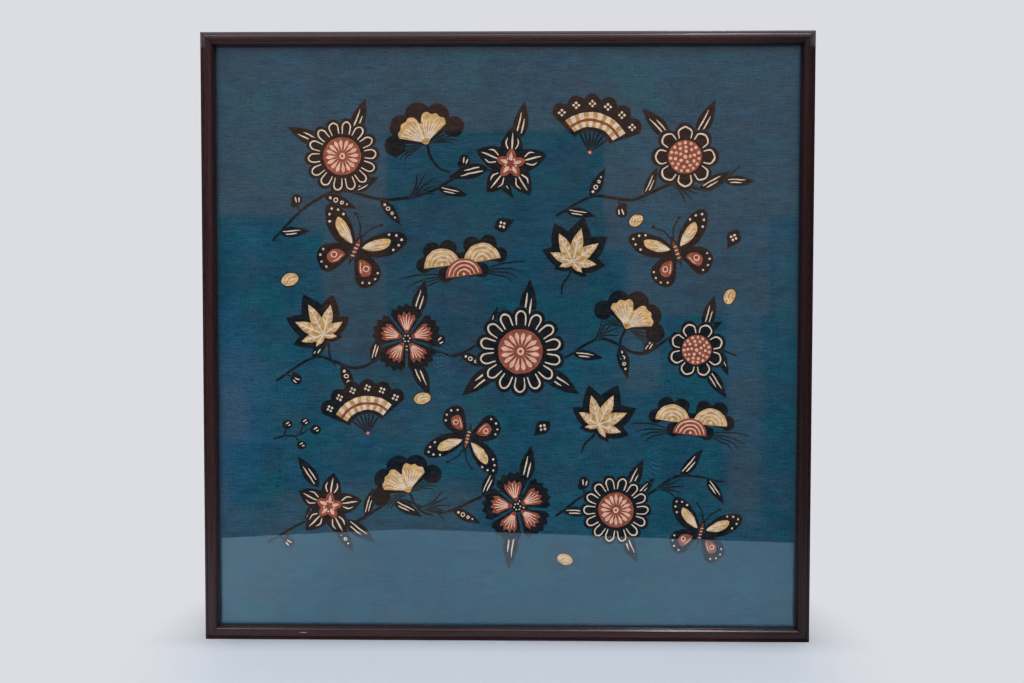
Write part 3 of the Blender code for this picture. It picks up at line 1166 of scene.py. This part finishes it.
def moulding_tree():
    """Sweeps the section along a rail, mitres its ends and turns it into its place round the picture."""
    tree = bpy.data.node_groups.new("mitred_moulding", "GeometryNodeTree")
    sockets = (
        ("Section", "NodeSocketGeometry"),
        ("Outer size", "NodeSocketFloat"),
        ("Mitre gap", "NodeSocketFloat"),
        ("Back plane", "NodeSocketFloat"),
        ("Steps", "NodeSocketInt"),
        ("Turn", "NodeSocketFloat"),
        ("Waver", "NodeSocketFloat"),
        ("Finish", "NodeSocketMaterial"),
    )
    for name, kind in sockets:
        tree.interface.new_socket(name, in_out="INPUT", socket_type=kind)
    tree.interface.new_socket("Rail", in_out="OUTPUT", socket_type="NodeSocketGeometry")
    board = Board(tree)
    section = board.add("NodeGroupInput")
    _, size, gap, back, steps, turn, waver, finish = (section.output(name) for name, _ in sockets)

    def stored(geometry, name, value, data_type="FLOAT"):
        return board.add("GeometryNodeStoreNamedAttribute", {"data_type": data_type, "domain": "POINT"},
                         {"Geometry": geometry, "Name": name, "Value": value})

    def read(name):
        return board.add("GeometryNodeInputNamedAttribute", {"data_type": "FLOAT"}, {"Name": name})

    def moved(geometry, up, **inputs):
        return board.add("GeometryNodeTransform", {}, {
            "Geometry": geometry, "Translation": board.vector(0.0, 0.0, up), **inputs})

    inset, height, _ = board.split(board.add("GeometryNodeInputPosition"))
    section = stored(section, "height", height)
    section = stored(section, "inset", inset)
    section = board.add("GeometryNodeMeshToCurve", {}, {"Mesh": section})
    line = board.add("GeometryNodeCurvePrimitiveLine", {}, {"End": (1.0, 0.0, 0.0)})
    line = board.add("GeometryNodeResampleCurve", {}, {"Curve": line, "Count": steps})
    line = stored(line, "run", board.add("GeometryNodeSplineParameter"))
    rail = board.add("GeometryNodeCurveToMesh", {}, {
        "Curve": line, "Profile Curve": section, "Fill Caps": True})

    inset, height, run = read("inset"), read("height"), read("run")
    along = (run * 2.0 - 1.0) * (size * 0.5 - inset - gap)
    wavering = board.noise(along * WAVER_ALONG, turn * 3.0, inset * WAVER_ACROSS, detail=1.0) - 0.5
    wavering = wavering * waver * height.step(*WAVER_HEIGHTS)
    place = board.vector(along, back - height - wavering, inset)
    rail = board.add("GeometryNodeSetPosition", {}, {"Geometry": rail, "Position": place})
    rail = stored(rail, "rail_place", board.vector(along + turn, inset, height), "FLOAT_VECTOR")

    # The turn is about the picture's middle
    turned = board.add("FunctionNodeEulerToRotation", {}, {0: board.vector(0.0, turn, 0.0)})
    rail = moved(rail, size * -0.5)
    rail = moved(rail, size * 0.5, Rotation=turned)
    rail = board.add("GeometryNodeSetShadeSmooth", {}, {"Geometry": rail})
    rail = board.add("GeometryNodeRealizeInstances", {}, {"Geometry": rail})
    rail = board.add("GeometryNodeSetMaterial", {}, {"Geometry": rail, "Material": finish})
    board.add("NodeGroupOutput", {}, {"Rail": rail})
    return tree


def add_object(name, data):
    made = bpy.data.objects.new(name, data)
    bpy.context.scene.collection.objects.link(made)
    return made


def evaluated_mesh(source, name):
    """What a piece's modifiers make of it, as a plain mesh with its faces pointing outwards."""
    bpy.context.view_layer.update()
    graph = bpy.context.evaluated_depsgraph_get()
    mesh = bpy.data.meshes.new_from_object(source.evaluated_get(graph), depsgraph=graph)
    mesh.name = name
    bm = bmesh.new()
    bm.from_mesh(mesh)
    bmesh.ops.recalc_face_normals(bm, faces=bm.faces)
    bm.to_mesh(mesh)
    bm.free()
    mesh.set_sharp_from_angle(angle=RAIL_CREASE)
    return mesh


def build_rails(finish):
    """One length of moulding for each side, each in the place of its own node."""
    tree = moulding_tree()
    keys = {item.name: item.identifier for item in tree.interface.items_tree if item.in_out == "INPUT"}
    quarter_turns = {"bottom": 0, "left": 1, "top": 2, "right": -1}
    for side, quarters in quarter_turns.items():
        source = section_object()
        modifier = source.modifiers.new("moulding", "NODES")
        modifier.node_group = tree
        given = {
            "Outer size": OUTER_SIZE,
            "Mitre gap": MITRE_HAIRLINE,
            "Back plane": BACK_PLANE,
            "Steps": RAIL_STEPS,
            "Turn": quarters * math.pi / 2,
            "Waver": RAIL_WAVER,
            "Finish": finish,
        }
        for name, value in given.items():
            modifier[keys[name]] = value
        rail = add_object(f"moulding_{side}", evaluated_mesh(source, f"rail_{side}"))
        bpy.data.objects.remove(source)
        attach(rail, "root")
        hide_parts(f"rail_{side}")


# Studio

CAMERA_PLACE = (0.0171, -0.9157, 0.3319)
CAMERA_PITCH = -1.733
CAMERA_YAW = 0.726
CAMERA_ROLL = -0.068
LENS = 31.64
SENSOR = 36.0
PIXEL_FILTER = 1.4
EYE = Vector(CAMERA_PLACE)
EYE_TO_GLASS = GLASS_FRONT - EYE.y

SURROUND = (0.715, 0.722, 0.765)
SURROUND_FILL = (0.50, 0.51, 0.53)
SURROUND_MIRRORED = (0.014, 0.014, 0.016)
FLOOR_COLOUR = (0.78, 0.83, 0.90)
FLOOR_PAINTED_SHADOW = (0.44, 0.46, 0.52)
FLOOR_SIDES = (-2, 2, -2, 2)
FLOOR_FADE = (0.26, 0.39)
FOOT_SHADE = (-0.048, -0.010)
LAMPS = (
    # name, place, width, height, power
    ("front_fill", (-0.5, -1.7, 0.45), 1.6, 0.8, 19.0),
    ("overhead", (0.30, -1.50, 1.50), 1.2, 0.6, 12.0),
)

# The room as the glass mirrors it
ROOM_GLOW = (0.30, 0.10, 0.01)
ROOM_DISTANCE = 1.5
ROOM_SIDES = (-0.34, 0.34, 0.05, 0.66)
MIRRORED_ROOM = (
    # left, right, lowest and highest place on the glass, half width of the soft edge, glow
    (-0.400, 0.400, 0.5160, 0.700, 0.0040, 1.00),
    (-0.400, -0.121, 0.4320, 0.700, 0.0035, 1.00),
    (-0.212, -0.121, 0.4170, 0.500, 0.0090, 0.95),
    (-0.187, -0.121, 0.2900, 0.500, 0.0050, 0.78),
    (-0.170, -0.121, 0.2150, 0.400, 0.0080, 0.50),
    (0.097, 0.400, 0.4320, 0.700, 0.0035, 1.00),
    (0.100, 0.267, 0.3950, 0.700, 0.0060, 0.92),
    (0.126, 0.267, 0.3310, 0.500, 0.0040, 0.80),
    (0.120, 0.157, 0.2550, 0.400, 0.0070, 0.60),
    (-0.135, -0.020, 0.2000, 0.4400, 0.0150, 0.28),
    (-0.135, 0.110, 0.4000, 0.5300, 0.0150, 0.16),
    (0.2235, 0.260, 0.1200, 0.400, 0.0085, 0.55),
    (0.260, 0.400, 0.3250, 0.500, 0.0200, 0.42),
    (0.272, 0.400, 0.1300, 0.172, 0.0080, 0.25),
    (-0.330, -0.262, 0.2020, 0.262, 0.0080, 0.70),
    (-0.310, -0.245, 0.2400, 0.294, 0.0140, 0.35),
    (-0.330, -0.280, 0.1650, 0.215, 0.0080, 0.30),
    (-0.330, -0.285, 0.0900, 0.168, 0.0060, 0.55),
    (-0.300, -0.225, 0.0900, 0.134, 0.0100, 0.52),
    (-0.240, -0.175, 0.0900, 0.147, 0.0120, 0.60),
    (-0.190, -0.030, 0.0900, 0.160, 0.0130, 0.64),
)
BENCH_EDGE = (
    # across and up on the glass, as mirrored there
    (-0.29, 0.1018),
    (-0.10, 0.1115),
    (0.29, 0.0990),
)
BENCH_OVERRUN = (2.0, 1.0)
BENCH_START = 0.004
BENCH_LIFT = 0.0004
BENCH_FADE = (-0.36, -0.17)
BENCH_LEFT = (0.82, 1.02, 1.22)
BENCH_RIGHT = (0.61, 0.78, 0.99)
CEILING = 2.3
CEILING_REACH = (-1.5, 0.5)
CEILING_COLOUR = (1.0, 0.97, 1.04)
CEILING_GLOWS = (
    # name, left and right ends, glow
    ("window_side", -1.80, -0.90, 9.0),
    ("ceiling", -0.90, 0.47, 0.2),
    ("ceiling_light", 0.47, 0.67, 56.0),
    ("ceiling_end", 0.67, 1.30, 3.0),
)
WALL_BEHIND = 0.35
WALL_SIDES = (-2, 2, -0.5, 2)
WALL_COLOUR = (0.60, 0.58, 0.60)


def camera():
    data = bpy.data.cameras.new("camera")
    data.sensor_width = SENSOR
    data.lens = LENS
    made = add_object("camera", data)
    made.location = CAMERA_PLACE
    turns = (90 + CAMERA_PITCH, CAMERA_ROLL, CAMERA_YAW)
    made.rotation_euler = [math.radians(turn) for turn in turns]
    bpy.context.scene.camera = made


def softbox(name, place, width, height, power):
    """A rectangular lamp turned towards the picture's middle, and left out of reflections."""
    data = bpy.data.lights.new(name, "AREA")
    data.shape = "RECTANGLE"
    data.size = width
    data.size_y = height
    data.energy = power
    lamp = add_object(name, data)
    lamp.location = place
    aim = Vector((0.0, 0.0, HALF_SIZE)) - Vector(place)
    lamp.rotation_euler = aim.to_track_quat("-Z", "Y").to_euler()
    lamp.visible_glossy = False
    lamp.visible_camera = False


def surround():
    """Pale all round to the eye, a soft fill on surfaces, and dim in reflections."""
    board = empty_board(bpy.data.worlds.new("surround"))
    bpy.context.scene.world = board.owner
    seen = board.add("ShaderNodeLightPath", output="Is Camera Ray")
    colour = board.mix(seen, SURROUND_FILL, SURROUND)
    colour = board.mix(seen.output("Is Glossy Ray"), colour, SURROUND_MIRRORED)
    back = board.add("ShaderNodeBackground", {}, {"Color": colour, "Strength": 1.0})
    board.add("ShaderNodeOutputWorld", {}, {"Surface": back})


def rectangle(left, right, low, high):
    return (left, low), (right, low), (right, high), (left, high)


def flat_piece(name, corners, material):
    """A piece of the studio from one flat face."""
    mesh = bpy.data.meshes.new(name)
    mesh.from_pydata(corners, [], [tuple(range(len(corners)))])
    mesh.materials.append(material)
    made = add_object(name, mesh)
    return made


def floor():
    """A pale floor with a painted contact shadow along the picture's foot, fading into the surround away from
    the picture.
    """
    board = new_material("floor")
    place = board.place()
    away = board.add("ShaderNodeVectorMath", {"operation": "LENGTH"}, {0: place}, "Value")
    _, y, _ = board.split(place)
    # Painted contact shadow along the picture's foot
    colour = board.mix(y.step(*FOOT_SHADE) * 0.5, FLOOR_COLOUR, FLOOR_PAINTED_SHADOW)
    surface = board.surface(colour, Roughness=0.9, Specular_IOR_Level=0.1)
    clear = board.add("ShaderNodeBsdfTransparent")
    faded = board.add("ShaderNodeMixShader", {}, {0: away.step(*FLOOR_FADE), 1: surface, 2: clear})
    corners = [(x, y, 0.0) for x, y in rectangle(*FLOOR_SIDES)]
    flat_piece("floor", corners, board.finished(faded)).visible_glossy = False


def card(name, corners, material):
    """A glowing stand-in for a part of the room, no lamp, that shows in reflections alone."""
    made = flat_piece(name, corners, material)
    for sight in ("camera", "diffuse", "transmission", "volume_scatter", "shadow"):
        setattr(made, f"visible_{sight}", False)


def glowing(board, colour, strength=1.0):
    """The board's material, once it glows."""
    return board.finished(board.add("ShaderNodeEmission", {}, {"Color": rgba(colour), "Strength": strength}))


def mirrored_at(x, z, distance):
    """Where something that far in front of the glass stands, to be mirrored at x, z of the glass."""
    share = distance / EYE_TO_GLASS
    return Vector((x + (x - EYE.x) * share, GLASS_FRONT - distance, z + (z - EYE.z) * share))


def warm_room():
    """A glowing card standing in for a warm dim room with dark openings, laid out by where the glass mirrors
    it. Each glow is kept where it is the strongest.
    """
    board = new_material("warm_room")
    x, _, z = board.split(board.place())
    share = ROOM_DISTANCE / EYE_TO_GLASS
    across = (x + EYE.x * share) / (1 + share)
    up = (z + EYE.z * share) / (1 + share)
    glow = across * 0.0
    for left, right, low, high, soft, strength in MIRRORED_ROOM:
        inside = across.step(left - soft, left + soft) * across.fall(right - soft, right + soft)
        inside = inside * up.step(low - soft, low + soft) * up.fall(high - soft, high + soft)
        glow = glow.larger(inside * strength)
    corners = [mirrored_at(x, z, ROOM_DISTANCE) for x, z in rectangle(*ROOM_SIDES)]
    card("warm_room", corners, glowing(board, ROOM_GLOW, glow))


def bench():
    """A glowing card standing in for a pale bench top, from the picture's foot to its slightly bent front
    edge, seen in reflections alone.
    """
    edge = [mirrored_at(x, z, z / (EYE.z - z) * EYE_TO_GLASS) for x, z in BENCH_EDGE]
    edge[0] += (edge[0] - edge[1]) * BENCH_OVERRUN[0]
    edge[2] += (edge[2] - edge[1]) * BENCH_OVERRUN[1]
    behind = PICTURE_LOW.y - BENCH_START
    corners = edge + [Vector((edge[end].x, behind, 0.0)) for end in (2, 0)]
    corners = [corner + Vector((0, 0, BENCH_LIFT)) for corner in corners]
    board = new_material("bench")
    x, _, _ = board.split(board.place())
    card("bench", corners, glowing(board, board.mix(x.step(*BENCH_FADE), BENCH_LEFT, BENCH_RIGHT)))


def ceiling_and_wall():
    # Glowing cards for the ceiling, its lights and the wall behind, seen in reflections alone; they give the
    # rails their highlights
    for name, left, right, strength in CEILING_GLOWS:
        corners = [(x, y, CEILING) for x, y in rectangle(left, right, *CEILING_REACH)]
        card(name, corners, glowing(new_material(name), CEILING_COLOUR, strength))
    corners = [(x, WALL_BEHIND, z) for x, z in rectangle(*WALL_SIDES)]
    card("wall_behind", corners, glowing(new_material("wall_behind"), WALL_COLOUR))


def studio():
    scene = bpy.context.scene
    scene.view_settings.view_transform = "Standard"
    scene.view_settings.look = "None"
    scene.cycles.filter_width = PIXEL_FILTER
    camera()
    surround()
    floor()
    warm_room()
    bench()
    ceiling_and_wall()
    for lamp in LAMPS:
        softbox(*lamp)


# The picture

build_rails(lacquered_wood())
build_cloth(dyed_cloth())
refinish("glazing", clear_glass())
refinish("backing_board", fibreboard())
studio()
